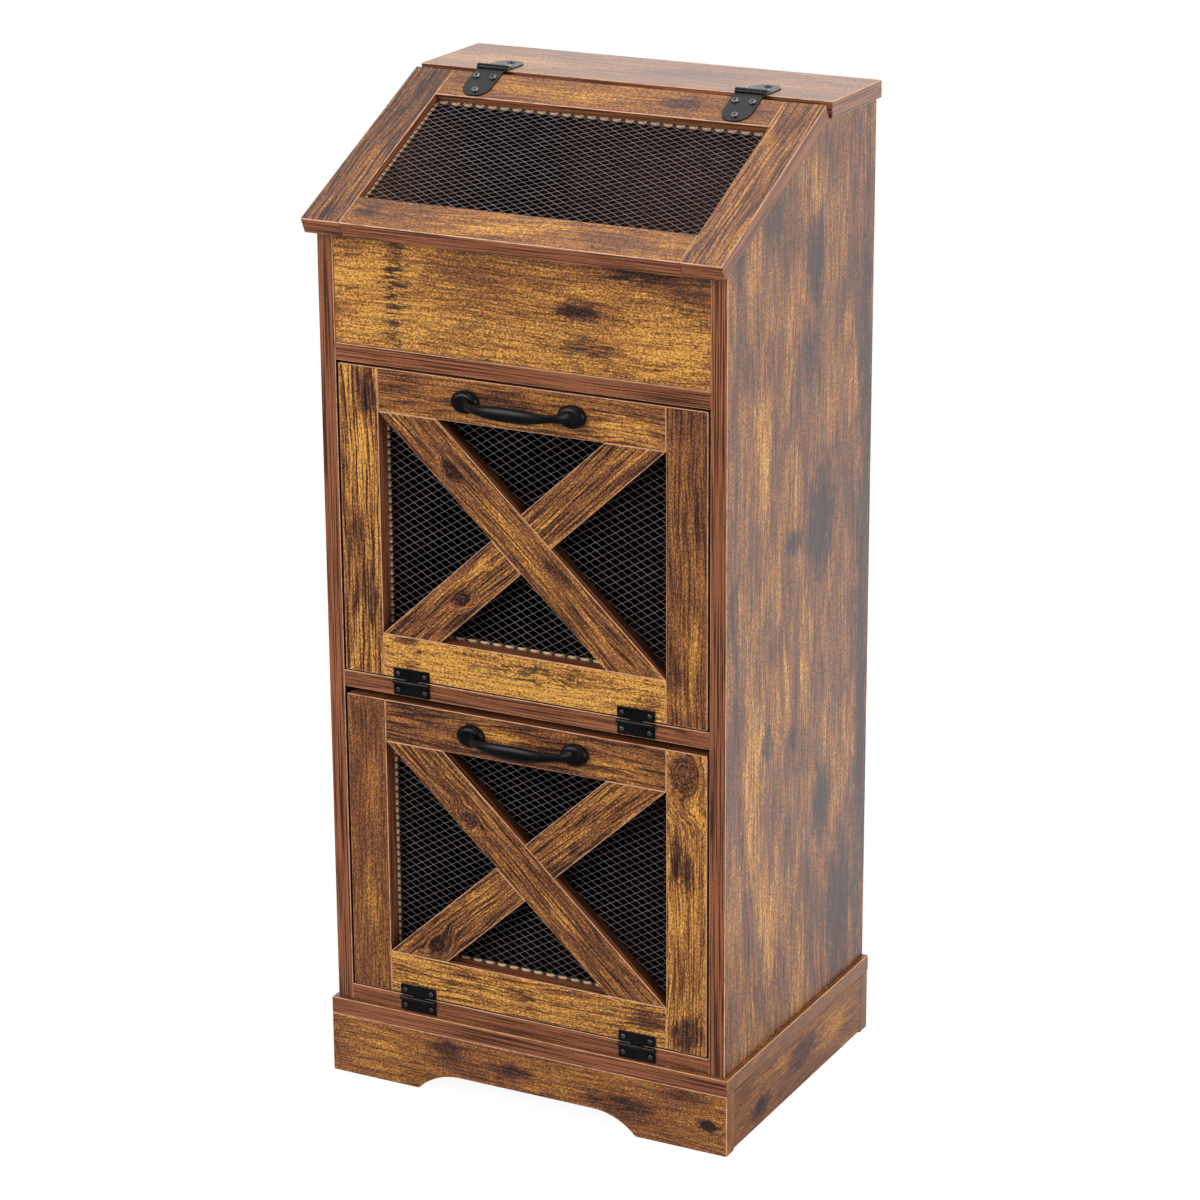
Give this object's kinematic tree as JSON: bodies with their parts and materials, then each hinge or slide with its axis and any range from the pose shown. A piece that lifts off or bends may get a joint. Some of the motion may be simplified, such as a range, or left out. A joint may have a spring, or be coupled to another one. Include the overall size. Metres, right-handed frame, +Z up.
{
  "type": "potato storage bin",
  "caption": "Tall free-standing vegetable bin with a sloping mesh lid over a top compartment and drop-front mesh doors with crossed braces below, on an arched plinth.",
  "frame": {"origin": "centre of the overall footprint, on the floor", "axes": "+Z up, +Y towards the back, +X to the right seen from the front"},
  "size_m": [0.39, 0.318, 0.8826],
  "materials": {
    "rustic_board": "satin rustic brown wood-grain foil on board",
    "hardboard_back": "matt printed hardboard",
    "black_mesh": "black coated expanded steel mesh",
    "black_handle": "satin black powder coat",
    "black_hinge": "satin black coat on pressed steel",
    "black_screw": "black oxide",
    "zinc_steel": "bright zinc plate",
    "cam_alloy": "cast zinc alloy",
    "beech_dowel": "plain beech",
    "catch_plastic": "brown moulded plastic",
    "ferrite": "dark ferrite"
  },
  "bodies": {
    "cabinet": {"side_left": "rustic_board", "side_right": "rustic_board", "bottom_shelf": "rustic_board", "middle_shelf": "rustic_board", "upper_shelf": "rustic_board", "front_panel": "rustic_board", "top_board": "rustic_board", "back_panel": "hardboard_back", "plinth_plate": "rustic_board", "plinth_front": "rustic_board", "plinth_back": "rustic_board", "plinth_side_left": "rustic_board", "plinth_side_right": "rustic_board", "carcass_cam_bolts": "zinc_steel", "carcass_cams": "cam_alloy", "dowels": "beech_dowel", "plinth_screws": "zinc_steel", "lid_hinge_top_leaves": "black_hinge", "door_hinge_shelf_leaves": "black_hinge", "hinge_pins": "black_hinge", "cabinet_screws": "black_screw", "catch_housings": "catch_plastic", "catch_magnets": "ferrite"},
    "lid": {"lid_stile_left": "rustic_board", "lid_stile_right": "rustic_board", "lid_rail_front": "rustic_board", "lid_rail_back": "rustic_board", "lid_mesh": "black_mesh", "lid_hinge_leaves": "black_hinge", "lid_screws": "black_screw", "lid_dowels": "beech_dowel"},
    "upper_door": {"upper_door_stile_left": "rustic_board", "upper_door_stile_right": "rustic_board", "upper_door_rail_top": "rustic_board", "upper_door_rail_bottom": "rustic_board", "upper_door_brace_long": "rustic_board", "upper_door_brace_short_top": "rustic_board", "upper_door_brace_short_bottom": "rustic_board", "upper_door_mesh": "black_mesh", "upper_door_handle": "black_handle", "upper_door_handle_screws": "zinc_steel", "upper_door_strike_plate": "zinc_steel", "upper_door_hinge_leaves": "black_hinge", "upper_door_screws": "black_screw", "upper_door_dowels": "beech_dowel"},
    "lower_door": {"lower_door_stile_left": "rustic_board", "lower_door_stile_right": "rustic_board", "lower_door_rail_top": "rustic_board", "lower_door_rail_bottom": "rustic_board", "lower_door_brace_long": "rustic_board", "lower_door_brace_short_top": "rustic_board", "lower_door_brace_short_bottom": "rustic_board", "lower_door_mesh": "black_mesh", "lower_door_handle": "black_handle", "lower_door_handle_screws": "zinc_steel", "lower_door_strike_plate": "zinc_steel", "lower_door_hinge_leaves": "black_hinge", "lower_door_screws": "black_screw", "lower_door_dowels": "beech_dowel"}
  },
  "joints": [
    {"name": "lid_hinge", "type": "hinge", "parent": "cabinet", "child": "lid", "pos_m": [0, 0.05, 0.8796], "axis": [-1, 0, 0], "range_deg": [0, 135]},
    {"name": "upper_door_hinge", "type": "hinge", "parent": "cabinet", "child": "upper_door", "pos_m": [0, -0.1363, 0.3802], "axis": [1, 0, 0], "range_deg": [0, 140]},
    {"name": "lower_door_hinge", "type": "hinge", "parent": "cabinet", "child": "lower_door", "pos_m": [0, -0.1363, 0.0842], "axis": [1, 0, 0], "range_deg": [0, 100]}
  ]
}
